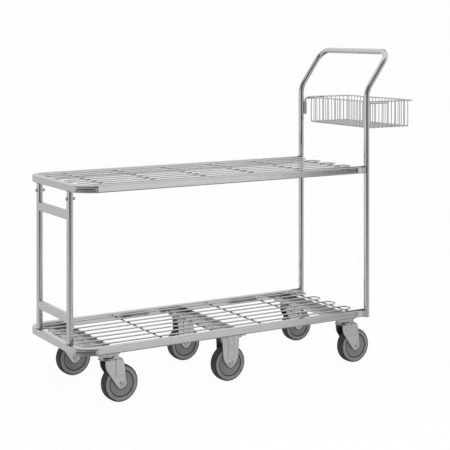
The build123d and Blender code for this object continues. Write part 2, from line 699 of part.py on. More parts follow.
wheels = dict(FIXED)
for place, (x, y) in SWIVELS.items():
    save(f"{place}_fork", swivel_fork(x, y))
    save(f"{place}_kingpin", kingpin(x, y))
    save(f"{place}_axle", axle(x + TRAIL, y))
    wheels[place] = (x + TRAIL, y)
for place, (x, y) in wheels.items():
    save(f"{place}_tyre", wheel_tyre(x, y))
    save(f"{place}_wheel_core", wheel_core(x, y))
    save(f"{place}_bush", wheel_bush(x, y))

save("basket_rim", basket_rim())
save("basket_side_wires", basket_wires(across=True))
save("basket_length_wires", basket_wires(across=False))
save("basket_hook_rods", basket_hook_rods())
save("basket_sockets", basket_sockets())
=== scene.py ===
import math
import random

import bmesh
import bpy
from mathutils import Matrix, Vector


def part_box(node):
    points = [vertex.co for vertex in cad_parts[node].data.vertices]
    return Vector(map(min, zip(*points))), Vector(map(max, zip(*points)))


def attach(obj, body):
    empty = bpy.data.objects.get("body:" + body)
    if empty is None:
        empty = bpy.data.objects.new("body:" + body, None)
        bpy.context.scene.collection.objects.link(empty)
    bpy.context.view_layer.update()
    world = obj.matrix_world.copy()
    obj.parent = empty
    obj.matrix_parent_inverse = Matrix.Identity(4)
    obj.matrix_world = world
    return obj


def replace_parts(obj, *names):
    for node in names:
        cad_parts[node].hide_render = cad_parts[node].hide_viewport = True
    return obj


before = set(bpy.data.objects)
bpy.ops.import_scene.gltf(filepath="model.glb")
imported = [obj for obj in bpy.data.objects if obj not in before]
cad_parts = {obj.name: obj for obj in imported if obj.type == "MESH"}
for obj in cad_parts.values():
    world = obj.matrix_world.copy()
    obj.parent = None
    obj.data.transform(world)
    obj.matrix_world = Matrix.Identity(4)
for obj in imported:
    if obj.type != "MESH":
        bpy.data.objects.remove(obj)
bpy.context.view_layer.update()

FRAME_BODY = "trolley_frame"
WHEEL_PLACES = ("front_left", "front_right", "middle_left", "middle_right", "rear_left", "rear_right")
SWIVEL_PLACES = ("front_left", "front_right", "rear_left", "rear_right")

# ---- node helpers ---------------------------------------------------------------------------


class Shader:
    """A small wrapper that builds a node tree line by line."""

    def __init__(self, name, world=False):
        if world:
            self.block = bpy.data.worlds.new(name)
        else:
            self.block = bpy.data.materials.new(name)
        self.block.use_nodes = True
        self.tree = self.block.node_tree
        self.tree.nodes.clear()

    def node(self, kind, inputs=None, **settings):
        """Add a node; inputs are sockets or plain values, settings are its properties."""
        made = self.tree.nodes.new(kind)
        for key, value in settings.items():
            setattr(made, key, value)
        for key, value in (inputs or {}).items():
            self.feed(made.inputs[key], value)
        return made

    def feed(self, socket, value):
        """Link another node's output into a socket, or set its plain value."""
        if isinstance(value, bpy.types.NodeSocket):
            self.tree.links.new(value, socket)
        else:
            socket.default_value = value

    def place(self):
        """Position in the object's own metres."""
        return self.node("ShaderNodeTexCoord").outputs["Object"]

    def maths(self, operation, *values):
        made = self.node("ShaderNodeMath", operation=operation)
        for index, value in enumerate(values):
            self.feed(made.inputs[index], value)
        return made.outputs[0]

    def vector_maths(self, operation, *values, output="Vector"):
        made = self.node("ShaderNodeVectorMath", operation=operation)
        for index, value in enumerate(values):
            self.feed(made.inputs[index], value)
        return made.outputs[output]

    def noise(self, vector, scale, detail=3.0, rough=0.5, distortion=0.0):
        inputs = {"Vector": vector, "Scale": scale, "Detail": detail}
        inputs.update({"Roughness": rough, "Distortion": distortion})
        return self.node("ShaderNodeTexNoise", inputs).outputs["Fac"]

    def spread(self, value, low_in, high_in, low_out, high_out):
        """Map one range to another, held at both ends."""
        inputs = {"Value": value, "From Min": low_in, "From Max": high_in}
        inputs.update({"To Min": low_out, "To Max": high_out})
        return self.node("ShaderNodeMapRange", inputs, clamp=True).outputs["Result"]

    def mix(self, factor, first, second):
        made = self.node("ShaderNodeMix", data_type="RGBA")
        self.feed(made.inputs["Factor"], factor)
        self.feed(made.inputs["A"], first)
        self.feed(made.inputs["B"], second)
        return made.outputs["Result"]

    def between(self, value, low, high, first, second):
        """From the first colour to the second as the value goes from low to high."""
        return self.mix(self.spread(value, low, high, 0.0, 1.0), first, second)

    def ramp(self, value, stops):
        """Grey levels at positions from 0 to 1, straight in between."""
        made = self.node("ShaderNodeValToRGB", {"Fac": value})
        elements = made.color_ramp.elements
        while len(elements) > 1:
            elements.remove(elements[-1])
        elements[0].position = stops[0][0]
        elements[0].color = grey(stops[0][1])
        for position, level in stops[1:]:
            elements.new(position).color = grey(level)
        return made.outputs["Color"]

    def bump(self, height, strength, distance, normal=None):
        """A normal tilted by the height, on top of another normal where one is given."""
        inputs = {"Height": height, "Strength": strength, "Distance": distance}
        made = self.node("ShaderNodeBump", inputs)
        if normal is not None:
            self.feed(made.inputs["Normal"], normal)
        return made.outputs["Normal"]

    def surface(self, shader_output):
        """Finish the tree with its output node and hand back the material or world."""
        is_material = isinstance(self.block, bpy.types.Material)
        out = self.node("ShaderNodeOutputMaterial" if is_material else "ShaderNodeOutputWorld")
        self.feed(out.inputs["Surface"], shader_output)
        return self.block


def grey(level, tint=(1.0, 1.0, 1.0)):
    return (level * tint[0], level * tint[1], level * tint[2], 1.0)


# ---- materials ------------------------------------------------------------------------------


WARM = (1.004, 1.0, 0.990)
COOL = (0.995, 1.0, 1.004)
FOLD_SHADE_LEVEL = 0.10             # brightness left by the painted shade where a rail is marked as folded in


def plated_metal(
    name, level, roughness, mottle, bevel=0.0006, crevice_shade=0.5, streak=(1.0, 1.0, 1.0), reach=0.006,
    relief_strength=0.10,
):
    """Zinc or nickel plated steel: clouded tone, uneven gloss, faint drawing marks, rougher crevices;
    painted shade darkens crevices and marked rail bends.
    """
    s = Shader(name)
    place = s.place()
    stretched = s.vector_maths("MULTIPLY", place, streak)
    clouds = s.noise(place, scale=14.0, detail=4.0, rough=0.6)
    patches = s.noise(place, scale=55.0, detail=3.0, rough=0.55, distortion=0.6)
    lines = s.noise(stretched, scale=420.0, detail=2.0, rough=0.6)
    specks = s.noise(place, scale=900.0, detail=2.0)
    tone = s.maths("ADD", s.maths("MULTIPLY", clouds, 0.55), s.maths("MULTIPLY", patches, 0.45))
    shade = s.spread(tone, 0.35, 0.65, 1.0 - mottle, 1.0 + mottle * 0.6)
    warm = grey(level, WARM)
    cool = grey(level, COOL)
    # Painted shade: ambient occlusion darkens the colour in crevices and in gaps between parts.
    occlusion = s.node(
        "ShaderNodeAmbientOcclusion", {"Distance": reach}, samples=4, only_local=False
    ).outputs["AO"]
    tone_and_painted_shade = s.maths("MULTIPLY", shade, s.spread(occlusion, 0.15, 0.75, 1.0 - crevice_shade, 1.0))
    # Painted shade on the rail bends: a per-vertex mask from the rail mesh darkens the caved-in band and
    # crease.
    fold_painted_shade = s.node("ShaderNodeAttribute", attribute_type="GEOMETRY", attribute_name="fold_painted_shade")
    tone_and_painted_shade = s.maths("MULTIPLY", tone_and_painted_shade, s.spread(fold_painted_shade.outputs["Fac"], 0.0, 1.0, 1.0, FOLD_SHADE_LEVEL))
    colour = s.vector_maths("SCALE", s.between(clouds, 0.4, 0.62, warm, cool))
    s.feed(colour.node.inputs["Scale"], tone_and_painted_shade)
    rough = s.maths(
        "ADD",
        s.spread(patches, 0.35, 0.65, roughness * 0.8, roughness * 1.25),
        s.spread(lines, 0.3, 0.7, -0.03, 0.03),
    )
    rough = s.maths("ADD", rough, s.spread(occlusion, 0.2, 0.8, 0.15, 0.0))
    soft_edge = s.node("ShaderNodeBevel", {"Radius": bevel}, samples=4).outputs["Normal"]
    relief = s.bump(lines, relief_strength, 0.00015, soft_edge)
    relief = s.bump(specks, relief_strength, 0.0001, relief)
    relief = s.bump(patches, relief_strength, 0.0006, relief)
    bsdf = s.node(
        "ShaderNodeBsdfPrincipled",
        {"Base Color": colour, "Metallic": 1.0, "Roughness": rough, "Normal": relief},
    )
    return s.surface(bsdf.outputs["BSDF"])


def wire_metal(name, level, under, roughness):
    """Plated wire, with painted shade making its underside darker than its top."""
    s = Shader(name)
    place = s.place()
    normal = s.node("ShaderNodeNewGeometry").outputs["Normal"]
    upward = s.node("ShaderNodeSeparateXYZ", {"Vector": normal}).outputs["Z"]
    clouds = s.noise(place, scale=22.0, detail=3.0, rough=0.6)
    fine = s.noise(place, scale=160.0, detail=2.0)
    # Painted shade: faces turned downwards are darkened.
    painted_underside_shade = s.spread(upward, -0.8, 0.25, under, 1.0)
    shade = s.maths("MULTIPLY", painted_underside_shade, s.spread(clouds, 0.35, 0.65, 0.93, 1.05))
    colour = s.vector_maths("SCALE", (level, level, level * 0.992))
    s.feed(colour.node.inputs["Scale"], shade)
    bsdf = s.node(
        "ShaderNodeBsdfPrincipled",
        {
            "Base Color": colour,
            "Metallic": 0.9,
            "Roughness": s.spread(fine, 0.3, 0.7, roughness * 0.85, roughness * 1.2),
            "Normal": s.bump(fine, 0.08, 0.0002),
        },
    )
    return s.surface(bsdf.outputs["BSDF"])


def weld_metal():
    """Plated weld beads: rippled, rougher and much darker than the tube; the dark colour is burnt weld, and
    at the wire crossings also painted shade.
    """
    s = Shader("weld_bead")
    place = s.place()
    ripple = s.noise(place, scale=700.0, detail=3.0, rough=0.6, distortion=0.4)
    patch = s.noise(place, scale=120.0, detail=2.0)
    # Dark weld colour: burnt weld, and at the wire crossings also painted shade.
    colour = s.between(patch, 0.35, 0.65, grey(0.09), grey(0.20))
    bsdf = s.node(
        "ShaderNodeBsdfPrincipled",
        {
            "Base Color": colour,
            "Metallic": 0.9,
            "Roughness": s.spread(ripple, 0.3, 0.7, 0.35, 0.6),
            "Normal": s.bump(ripple, 0.5, 0.0008),
        },
    )
    return s.surface(bsdf.outputs["BSDF"])


DUSTY = (1.0, 0.997, 0.988)   # tint of dust on rubber


def wheel_frame(s):
    """Offset from the wheel's centre, radius from its axle and distance from its middle plane."""
    centre = s.node("ShaderNodeAttribute", attribute_type="OBJECT", attribute_name="wheel_centre")
    offset = s.vector_maths("SUBTRACT", s.place(), centre.outputs["Vector"])
    parts = s.node("ShaderNodeSeparateXYZ", {"Vector": offset}).outputs
    flat = s.node("ShaderNodeCombineXYZ", {"X": parts["X"], "Z": parts["Z"]})
    radius = s.vector_maths("LENGTH", flat.outputs["Vector"], output="Value")
    side = s.maths("ABSOLUTE", parts["Y"])
    return offset, radius, side


def tyre_rubber():
    """Solid rubber: scuffed tread and shoulder darkened with painted shade, side walls lighter with painted
    light and a faint dust tint, painted shade in the groove at the bead.
    """
    s = Shader("tyre_rubber")
    offset, radius, side = wheel_frame(s)
    clouds = s.noise(offset, scale=45.0, detail=4.0, rough=0.6)
    grain = s.noise(offset, scale=900.0, detail=2.0)
    across = s.vector_maths("MULTIPLY", offset, (1.0, 0.25, 1.0))
    scuffs = s.noise(across, scale=180.0, detail=3.0, rough=0.65)
    # Painted light and shade: the side walls are made lighter, while the tread and the rounded shoulder
    # keep a darker colour.
    on_side = s.spread(side, 0.0160, 0.0170, 0.0, 1.0)
    inside_shoulder = s.spread(radius, 0.0572, 0.0556, 0.0, 1.0)
    wall = s.maths("MULTIPLY", on_side, inside_shoulder)
    # Painted shade in the recess where the tyre meets the core.
    groove = s.spread(radius, 0.0450, 0.0440, 0.0, 1.0)
    tread_scuffs_and_painted_shade = s.between(scuffs, 0.35, 0.7, grey(0.020), grey(0.044, DUSTY))
    wall_tone_and_painted_light = s.between(clouds, 0.35, 0.65, grey(0.158, DUSTY), grey(0.205, DUSTY))
    colour = s.mix(wall, tread_scuffs_and_painted_shade, wall_tone_and_painted_light)
    colour = s.mix(groove, colour, grey(0.018))
    rough = s.spread(clouds, 0.3, 0.7, 0.52, 0.74)
    relief = s.bump(grain, 0.18, 0.0002)
    relief = s.bump(scuffs, 0.2, 0.0004, relief)
    bsdf = s.node(
        "ShaderNodeBsdfPrincipled",
        {"Base Color": colour, "Roughness": rough, "Normal": relief, "Specular IOR Level": 0.35},
    )
    return s.surface(bsdf.outputs["BSDF"])


def core_plastic():
    """Grey moulded plastic of the wheel centre, a touch of sheen and flow marks."""
    s = Shader("wheel_core_plastic")
    offset, radius, _ = wheel_frame(s)
    clouds = s.noise(offset, scale=60.0, detail=3.0, rough=0.55)
    grain = s.noise(offset, scale=1300.0, detail=2.0)
    colour = s.between(clouds, 0.35, 0.65, grey(0.135), grey(0.168))
    # Painted shade on the core's rim, next to the recess round it.
    colour = s.between(radius, 0.0405, 0.0418, colour, grey(0.05))
    bsdf = s.node(
        "ShaderNodeBsdfPrincipled",
        {
            "Base Color": colour,
            "Roughness": s.spread(clouds, 0.3, 0.7, 0.36, 0.50),
            "Normal": s.bump(grain, 0.12, 0.00015),
            "Specular IOR Level": 0.45,
        },
    )
    return s.surface(bsdf.outputs["BSDF"])


IVORY = (1.0, 0.983, 0.912)


def bearing_plastic():
    """Pale moulded bearing plastic."""
    s = Shader("bearing_plastic")
    clouds = s.noise(s.place(), scale=150.0, detail=3.0)
    bsdf = s.node(
        "ShaderNodeBsdfPrincipled",
        {
            "Base Color": s.mix(clouds, grey(0.52, IVORY), grey(0.62, IVORY)),
            "Roughness": s.spread(clouds, 0.3, 0.7, 0.35, 0.5),
            "Normal": s.bump(clouds, 0.1, 0.0002),
            "Subsurface Weight": 0.05,
        },
    )
    return s.surface(bsdf.outputs["BSDF"])


LOOKS = {
    "rail_zinc": plated_metal(
        "rail_zinc", 0.58, 0.12, 0.04, bevel=0.0008, streak=(0.04, 1.0, 1.0), relief_strength=0.05
    ),
    "tube_zinc": plated_metal("tube_zinc", 0.60, 0.13, 0.04, streak=(1.0, 1.0, 0.03), relief_strength=0.06),
    # Copies of one plated wire at different levels, painted light and shade: the upper deck's loops
    # lighter, the cross wires darker with painted shade where they lie below the loops.
    "wire_zinc": wire_metal("wire_zinc", 0.66, 0.38, 0.26),
    "upper_wire_zinc": wire_metal("upper_wire_zinc", 0.74, 0.90, 0.42),
    "cross_wire_zinc_painted_shade": wire_metal("cross_wire_zinc_painted_shade", 0.44, 0.50, 0.30),
    "upper_cross_wire_zinc_painted_shade": wire_metal("upper_cross_wire_zinc_painted_shade", 0.26, 0.50, 0.34),
    "handle_bright": plated_metal(
        "handle_bright", 0.66, 0.08, 0.03, bevel=0.0003, streak=(1.0, 1.0, 0.03), relief_strength=0.04
    ),
    "sheet_zinc": plated_metal("sheet_zinc", 0.60, 0.30, 0.07, bevel=0.0012, crevice_shade=0.6, reach=0.005),
    "fork_zinc": plated_metal("fork_zinc", 0.60, 0.28, 0.07, bevel=0.0005, crevice_shade=0.6, reach=0.006),
    "bolt_zinc": plated_metal("bolt_zinc", 0.54, 0.30, 0.08, bevel=0.0004, crevice_shade=0.65),
    "steel_plain": plated_metal("steel_plain", 0.46, 0.25, 0.10, bevel=0.0004, crevice_shade=0.6),
    "basket_zinc": wire_metal("basket_zinc", 0.66, 0.75, 0.30),
    "tyre_rubber": tyre_rubber(),
    "core_plastic": core_plastic(),
    "bearing_plastic": bearing_plastic(),
    "weld_bead": weld_metal(),
}


def look_for(node):
    """The material of a carried-over CAD node, by its name."""
    rules = (
        ("_tyre", "tyre_rubber"),
        ("_wheel_core", "core_plastic"),
        ("_bush", "bearing_plastic"),
        ("_deck_rail", "rail_zinc"),
        ("upper_deck_wire_loops", "upper_wire_zinc"),
        ("_wire_loops", "wire_zinc"),
        ("upper_deck_cross_wires", "upper_cross_wire_zinc_painted_shade"),
        ("_cross_wires", "cross_wire_zinc_painted_shade"),
        ("push_handle", "handle_bright"),
        ("front_posts", "tube_zinc"),
        ("post_spigots", "tube_zinc"),
        ("_post_bar", "tube_zinc"),
        ("_bolts", "bolt_zinc"),
        ("_cap_nuts", "bolt_zinc"),
        ("_cross_member", "sheet_zinc"),
        ("top_plates", "sheet_zinc"),
        ("_fork", "fork_zinc"),
        ("_balls", "steel_plain"),
        ("_kingpin", "steel_plain"),
        ("_axle", "bolt_zinc"),
        ("basket_", "basket_zinc"),
    )
    for fragment, look in rules:
        if fragment in node:
            return LOOKS[look]
    raise ValueError(node)


for node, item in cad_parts.items():
    item.data.materials.clear()
    item.data.materials.append(look_for(node))

wheel_centres = {}
for place in WHEEL_PLACES:
    low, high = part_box(place + "_tyre")
    wheel_centres[place] = (low + high) / 2
    for part in ("_tyre", "_wheel_core"):
        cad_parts[place + part]["wheel_centre"] = list(wheel_centres[place])

# ---- mesh helpers ---------------------------------------------------------------------------


def add_piece(name, mesh_data, look, body=FRAME_BODY):
    """A new object in the scene that rides on a body, smooth shaded."""
    piece = bpy.data.objects.new(name, mesh_data)
    bpy.context.scene.collection.objects.link(piece)
    mesh_data.materials.append(LOOKS[look])
    for polygon in mesh_data.polygons:
        polygon.use_smooth = True
    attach(piece, body)
    return piece


def mesh_from(name, bm):
    """Mesh data from a finished bmesh, faces outwards."""
    bmesh.ops.recalc_face_normals(bm, faces=bm.faces)
    data = bpy.data.meshes.new(name)
    bm.to_mesh(data)
    bm.free()
    return data


def skin(bm, rings, closed_along=False):
    """Quads between neighbouring closed rings of vertices."""
    count = len(rings)
    for index in range(count if closed_along else count - 1):
        first = rings[index]
        second = rings[(index + 1) % count]
        for k in range(len(first)):
            n = (k + 1) % len(first)
            bm.faces.new((first[k], first[n], second[n], second[k]))


CORNERS = ((1, 1), (-1, 1), (-1, -1), (1, -1))     # signs, anticlockwise


def rounded_square(half, radius, corner_steps, side_steps):
    """Outline (sideways, up) of a square with rounded corners, anticlockwise from the right."""
    flat = half - radius

    def on_corner(quarter, share):
        sx, sz = CORNERS[quarter % 4]
        angle = math.pi / 2 * (quarter + share)
        return sx * flat + radius * math.cos(angle), sz * flat + radius * math.sin(angle)

    points = []
    for quarter in range(4):
        points += [on_corner(quarter, step / corner_steps) for step in range(corner_steps + 1)]
        here, there = points[-1], on_corner(quarter + 1, 0.0)
        for step in range(1, side_steps):
            share = step / side_steps
            points.append(tuple(a + (b - a) * share for a, b in zip(here, there)))
    return points


def clamped(value):
    return min(1.0, max(0.0, value))


def smoothstep(value):
    value = clamped(value)
    return value * value * (3 - 2 * value)


# ---- deck rails with the dented corner bends ------------------------------------------------
RAIL = 0.025
RAIL_WALL = 0.0015
RAIL_EDGE_R = 0.004
EDGE_STEPS = 5
FACE_STEPS = 24
BEND_OUTSIDE_R = 0.075
STRAIGHT_STEPS = 24
BEND_STEPS = 36
FRONT_STEPS = 12
DENT_DEPTH = 0.006
INNER_DENT_SHARE = 0.9        # the tube's inside caves in a little less
BULGE = 0.0007                # of the inner side of a bend
PINCH = 0.035                 # share of the height lost at a bend


def rail_stations(low, high):
    """Centre line of one rail: place, outward direction, share of the way round a bend."""
    z = (low.z + high.z) / 2
    y = high.y - RAIL / 2
    x_front = low.x + RAIL / 2
    x_rear = high.x
    radius = BEND_OUTSIDE_R - RAIL / 2
    x_start = x_front + radius
    front_half = y - radius
    stations = []
    for side in (-1, 1):
        run = []
        for step in range(STRAIGHT_STEPS):
            x = x_rear + (x_start - x_rear) * step / STRAIGHT_STEPS
            run.append((Vector((x, side * y, z)), Vector((0, side, 0)), 0.0))
        centre = Vector((x_start, side * front_half, z))
        for step in range(BEND_STEPS + 1):
            share = step / BEND_STEPS
            angle = share * math.pi / 2
            outward = Vector((-math.sin(angle), side * math.cos(angle), 0))
            run.append((centre + outward * radius, outward, share))
        if side < 0:
            stations += run
            for step in range(1, FRONT_STEPS):
                place = Vector((x_front, -front_half + 2 * front_half * step / FRONT_STEPS, z))
                stations.append((place, Vector((-1, 0, 0)), 0.0))
        else:
            stations += list(reversed(run))
    return stations


def dent_at(share):
    """How far the outer wall has caved in, from the start (0) to the end (1) of a bend."""
    if share <= 0 or share >= 1:
        return 0.0
    rise = smoothstep((share - 0.05) / 0.14) * smoothstep((0.76 - share) / 0.14)
    ripple = 1.0 + 0.10 * math.sin(share * 17.0)
    return rise * ripple


def dent_section(height):
    """Cave-in over the rail's height (-1 to 1): a crease high up, a bulge, then tucked in below."""
    crease = 0.27 * (clamped((0.74 - height) / 0.18) - clamped((0.56 - height) / 0.18))
    whole = 0.08 * smoothstep((0.95 - abs(height)) / 0.25)
    tuck = 0.90 * (clamped((0.26 - height) / 0.83) - clamped((-0.57 - height) / 0.10))
    return crease + whole + tuck


def fold_shade(height):
    """Where a cave-in is darkened with painted shade: along the crease and on the tucked-in band."""
    crease = clamped((0.78 - height) / 0.06) * clamped((height - 0.54) / 0.06)
    band = clamped((0.02 - height) / 0.10) * clamped((height + 0.62) / 0.08)
    return 0.8 * crease + band


def build_rail(deck):
    """One deck rail as a hollow tube, open at its two ends, in place of the plain CAD one."""
    node = f"{deck}_deck_rail"
    low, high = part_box(node)
    stations = rail_stations(low, high)
    half = RAIL / 2
    outer = rounded_square(half, RAIL_EDGE_R, EDGE_STEPS, FACE_STEPS)
    inner = rounded_square(half - RAIL_WALL, RAIL_EDGE_R - RAIL_WALL, EDGE_STEPS, FACE_STEPS)
    bm = bmesh.new()
    shells = []
    fold_painted_shades = []
    for outline, depth_share in ((outer, 1.0), (inner, INNER_DENT_SHARE)):
        rings = []
        for place, outward, share in stations:
            dent = dent_at(share) * depth_share
            ring = []
            for sideways, up in outline:
                outer_wall = max(0.0, sideways / half) ** 6
                inner_wall = max(0.0, -sideways / half) ** 4
                shift = dent * (DENT_DEPTH * outer_wall * dent_section(up / half) + BULGE * inner_wall)
                height = up * (1 - PINCH * dent * smoothstep((sideways + half) / RAIL))
                here = place + outward * (sideways - shift) + Vector((0, 0, height))
                ring.append(bm.verts.new(here))
                # Painted shade mask for the caved-in outer wall, read by the rail material.
                fold_painted_shades.append(dent_at(share) * outer_wall * fold_shade(up / half))
            rings.append(ring)
        skin(bm, rings)
        shells.append(rings)
    for end in (0, -1):
        first, second = shells[0][end], shells[1][end]
        for k in range(len(first)):
            n = (k + 1) % len(first)
            bm.faces.new((first[k], first[n], second[n], second[k]))
    data = mesh_from(f"{deck}_rail_tube", bm)
    fold_painted_shade = data.attributes.new("fold_painted_shade", "FLOAT", "POINT")
    fold_painted_shade.data.foreach_set("value", fold_painted_shades)
    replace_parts(add_piece(f"{deck}_rail_tube", data, "rail_zinc"), node)


# ---- weld beads -----------------------------------------------------------------------------
RIPPLE_PITCH = 0.0018
RIPPLE_TURN = 2.4             # radians of the regular ripple from one ring to the next
LUMP = 0.132                  # share of the radius, regular and random
BEAD_SIDES = 8
BEAD_END = 0.4                # an open bead's end rings are this much thinner
NUGGET_WOBBLE = 0.12
SPOT_SIZE = (1.8, 1.12, 0.55)       # weld spots, in wire radii along X, Y and Z
WIRE_END_SIZE = (1.5, 0.75, 1.25)
LOOP_END_SIZE = (0.7, 2.6, 0.85)
HANDLE_BEAD_R = 0.0014
POST_BEAD_R = 0.0015
SPIGOT_BEAD_R = 0.0012
BEAD_INSET = 0.0006           # a bead's middle line, back from the end of the tube
BEAD_RING_GAP = 0.0002        # and outside a round tube
BEAD_RING_STEPS = 36
RAIL_BEAD_SIDE = 0.0019       # and inside the side faces of a rail
RAIL_BEAD_TOP = 0.0003        # and inside its top and bottom
RAIL_BEAD_CUT = 0.003
WIRE_END_GAP = 0.0005
LOOP_END_GAP = 0.0003
weld_random = random.Random(11)


def bead_along(bm, points, radius, closed=False):
    """A weld bead: a lumpy round strand through the points."""
    fine = []
    count = len(points)
    for index in range(count if closed else count - 1):
        start, end = Vector(points[index]), Vector(points[(index + 1) % count])
        steps = max(1, round((end - start).length / RIPPLE_PITCH))
        fine += [start.lerp(end, step / steps) for step in range(steps)]
    if not closed:
        fine.append(Vector(points[-1]))
    rings = []
    total = len(fine)
    for index, here in enumerate(fine):
        before = fine[index - 1] if closed or index > 0 else here
        after = fine[(index + 1) % total] if closed or index < total - 1 else here
        tangent = (after - before).normalized()
        side = tangent.orthogonal().normalized()
        if abs(tangent.z) < 0.99:
            side = tangent.cross(Vector((0, 0, 1))).normalized()
        up = tangent.cross(side)
        ripple = LUMP * math.sin(index * RIPPLE_TURN) + weld_random.uniform(-LUMP, LUMP)
        size = radius * (1 + ripple)
        if not closed and index in (0, total - 1):
            size *= BEAD_END
        ring = []
        for k in range(BEAD_SIDES):
            angle = 2 * math.pi * k / BEAD_SIDES
            ring.append(bm.verts.new(here + (side * math.cos(angle) + up * math.sin(angle)) * size))
        rings.append(ring)
    skin(bm, rings, closed_along=closed)
    if not closed:
        bm.faces.new(rings[0])
        bm.faces.new(rings[-1])


def nugget(bm, place, size):
    """A small flattened weld spot, a little three-cornered."""
    made = bmesh.ops.create_icosphere(bm, subdivisions=2, radius=1.0)
    turn = weld_random.uniform(0, math.pi)
    for vertex in made["verts"]:
        x, y, z = vertex.co
        wobble = 1 + NUGGET_WOBBLE * math.sin(3 * math.atan2(y, x) + turn)
        vertex.co = Vector((x * size[0] * wobble, y * size[1] * wobble, z * size[2])) + Vector(place)


def island_boxes(node):
    """Bounding boxes of the separate solids inside one CAD node, lowest X first."""
    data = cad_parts[node].data
    bm = bmesh.new()
    bm.from_mesh(data)
    bmesh.ops.remove_doubles(bm, verts=bm.verts, dist=1e-6)
    seen = set()
    boxes = []
    for start in bm.verts:
        if start in seen:
            continue
        stack, island = [start], []
        seen.add(start)
        while stack:
            vertex = stack.pop()
            island.append(vertex.co.copy())
            for edge in vertex.link_edges:
                other = edge.other_vert(vertex)
                if other not in seen:
                    seen.add(other)
                    stack.append(other)
        low = Vector(min(p[i] for p in island) for i in range(3))
        high = Vector(max(p[i] for p in island) for i in range(3))
        boxes.append((low, high))
    bm.free()
    return sorted(boxes, key=lambda box: (round(box[0].x, 4), box[0].y))


def deck_welds(deck):
    """Weld spots where the wires cross, at the cross wires' ends and at the loops' front ends."""
    loops = island_boxes(f"{deck}_deck_wire_loops")
    crosses = island_boxes(f"{deck}_deck_cross_wires")
    rail_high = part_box(f"{deck}_deck_rail")[1]
    wire_r = (crosses[0][1].z - crosses[0][0].z) / 2
    spot, wire_end, loop_end = (
        [share * wire_r for share in size] for size in (SPOT_SIZE, WIRE_END_SIZE, LOOP_END_SIZE)
    )
    name = f"{deck}_deck_wire_welds"
    bm = bmesh.new()
    for cross_low, cross_high in crosses:
        x, _, z = (cross_low + cross_high) / 2
        for loop_low, loop_high in loops:
            for y in (loop_low.y + wire_r, loop_high.y - wire_r):
                # The crossing spots are wide and dark: partly weld, partly painted shade where the cross
                # wire lies below a loop wire.
                nugget(bm, (x, y, cross_high.z), spot)
        for side in (-1, 1):
            nugget(bm, (x, side * (rail_high.y - RAIL - WIRE_END_GAP), z), wire_end)
    for loop_low, loop_high in loops:
        _, y, z = (loop_low + loop_high) / 2
        nugget(bm, (loop_low.x + LOOP_END_GAP, y, z), loop_end)
    add_piece(name, mesh_from(name, bm), "weld_bead")


def rail_end_outline(deck, side):
    """Square with cut corners round one rail end, against the handle upright."""
    low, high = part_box(f"{deck}_deck_rail")
    y = side * (high.y - RAIL / 2)
    z = (low.z + high.z) / 2
    x = high.x - BEAD_INSET
    across = RAIL / 2 - RAIL_BEAD_SIDE
    tall = RAIL / 2 - RAIL_BEAD_TOP
    outline = []
    for sy, sz in CORNERS:
        on_side = (x, y + sy * across, z + sz * (tall - RAIL_BEAD_CUT))
        on_top = (x, y + sy * (across - RAIL_BEAD_CUT), z + sz * tall)
        outline += [on_side, on_top] if sy * sz > 0 else [on_top, on_side]
    return outline


def ring_outline(node, end, bead_r):
    """Circles round the tubes of a node at their lower (0) or upper (1) ends, for a bead."""
    for box in island_boxes(node):
        x, y, _ = (box[0] + box[1]) / 2
        z = box[end].z + (BEAD_INSET if end == 0 else -BEAD_INSET)
        radius = (box[1].x - box[0].x) / 2 + BEAD_RING_GAP
        turns = [2 * math.pi * step / BEAD_RING_STEPS for step in range(BEAD_RING_STEPS)]
        yield [(x + radius * math.cos(a), y + radius * math.sin(a), z) for a in turns], bead_r


def tube_welds():
    """Beads where rails meet the handle, posts the lower rail and spigots the upper rail."""
    beads = [
        (rail_end_outline(deck, side), HANDLE_BEAD_R) for deck in ("lower", "upper") for side in (-1, 1)
    ]
    beads += ring_outline("front_posts", 0, POST_BEAD_R)
    beads += ring_outline("post_spigots", 1, SPIGOT_BEAD_R)
    bm = bmesh.new()
    for outline, bead_r in beads:
        bead_along(bm, outline, bead_r, closed=True)
    add_piece("tube_weld_beads", mesh_from("tube_weld_beads", bm), "weld_bead")


# ---- caster forks: pressed sheet with rounded bends -----------------------------------------
SHEET = 0.003
SHEET_EDGE_R = 0.0011
BEND_R = 0.0055
FORK_HALF = 0.025             # outside of a leg from the wheel's middle plane
MAX_RELIEF = 0.0012           # height of the pressed-out fields
RELIEF_SHARE = 0.85           # the wide fields, compared with the boss
FOOT_STEPS = 10
ROUND_STEPS = 6
LEG_STEPS = 30
CROWN_STEPS = 4
ACROSS_STEPS = 44
FOOT_RISES = (0.0002, 0.0008, 0.002, 0.004, 0.007, 0.011)
SHEET_RIMS = (0.0, 0.0002, 0.0005, 0.0011)
RIM_SHARE = 0.12              # most of the sheet's width that one rounded rim may take
RACE_R = 0.026
RACE_HEIGHT = 0.004
PIN_HOLE_R = 0.0065
PLATE_SHEET = 0.0035
PLATE_HALF_Y = 0.050
PLATE_CORNER_R = 0.008
PLATE_EDGE = 0.0008
LATHE_STEPS = 48


def circle_through(first, second, third):
    """Centre and radius of the circle through three points of a plane."""
    (ax, ay), (bx, by), (cx, cy) = first, second, third
    double_area = 2 * (ax * (by - cy) + bx * (cy - ay) + cx * (ay - by))
    a2, b2, c2 = ax * ax + ay * ay, bx * bx + by * by, cx * cx + cy * cy
    x = (a2 * (by - cy) + b2 * (cy - ay) + c2 * (ay - by)) / double_area
    y = (a2 * (cx - bx) + b2 * (ax - cx) + c2 * (bx - ax)) / double_area
    return x, y, math.hypot(ax - x, ay - y)


